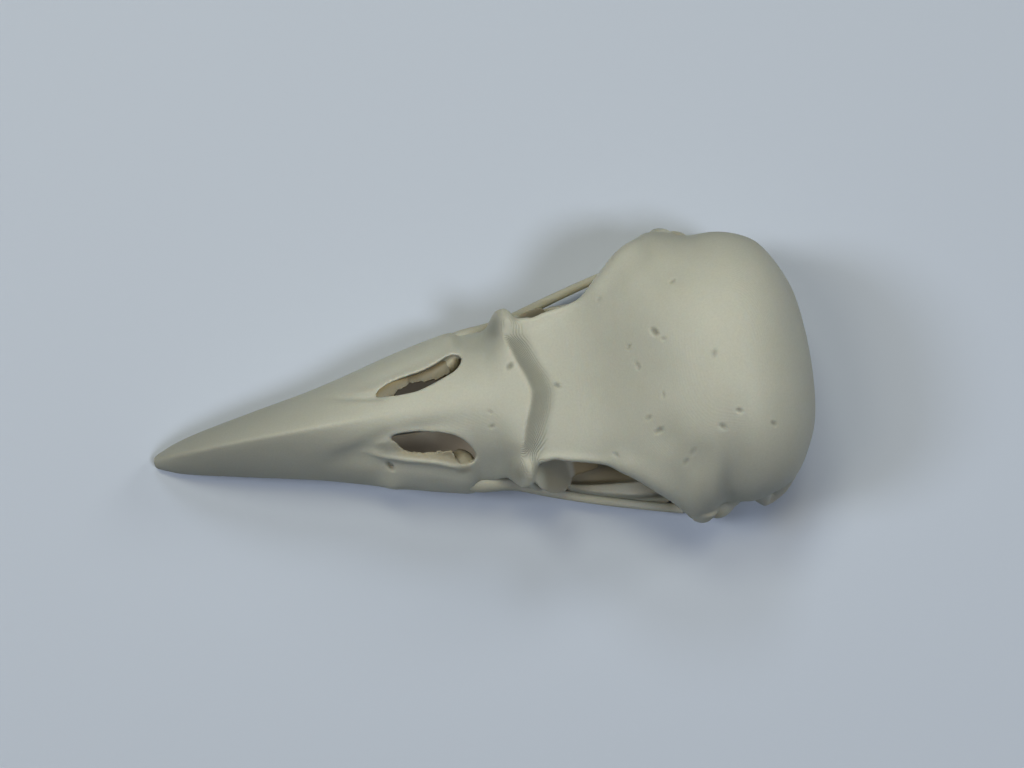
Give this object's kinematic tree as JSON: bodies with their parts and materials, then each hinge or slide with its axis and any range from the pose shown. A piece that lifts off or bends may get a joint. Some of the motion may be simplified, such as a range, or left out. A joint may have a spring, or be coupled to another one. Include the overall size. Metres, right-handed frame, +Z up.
{
  "type": "raven skull model",
  "caption": "Life-size raven skull without lower jaw, a matt ivory printed display model resting on its bill tip and quadrates, parted into its bones",
  "frame": {"origin": "on the table under the middle of the skull's bounding box", "axes": "+X from the tip of the bill to the back of the skull, +Y to the bird's right side, +Z up from the table"},
  "size_m": [0.1108, 0.049, 0.0354],
  "materials": {
    "bill": "matte",
    "cranium": "matte",
    "orbit_plate": "matte",
    "palate": "matte",
    "cheek": "matte"
  },
  "bodies": {
    "root": {"premaxilla": "bill", "nasal": "bill", "maxilla_left": "bill", "maxilla_right": "bill", "frontal": "cranium", "braincase": "cranium", "lacrimal_left": "cranium", "lacrimal_right": "cranium", "septum": "orbit_plate", "palatine_left": "palate", "palatine_right": "palate", "pterygoid_left": "palate", "pterygoid_right": "palate", "vomer": "palate", "jugal_left": "cheek", "jugal_right": "cheek", "quadrate_left": "cheek", "quadrate_right": "cheek"}
  },
  "joints": []
}
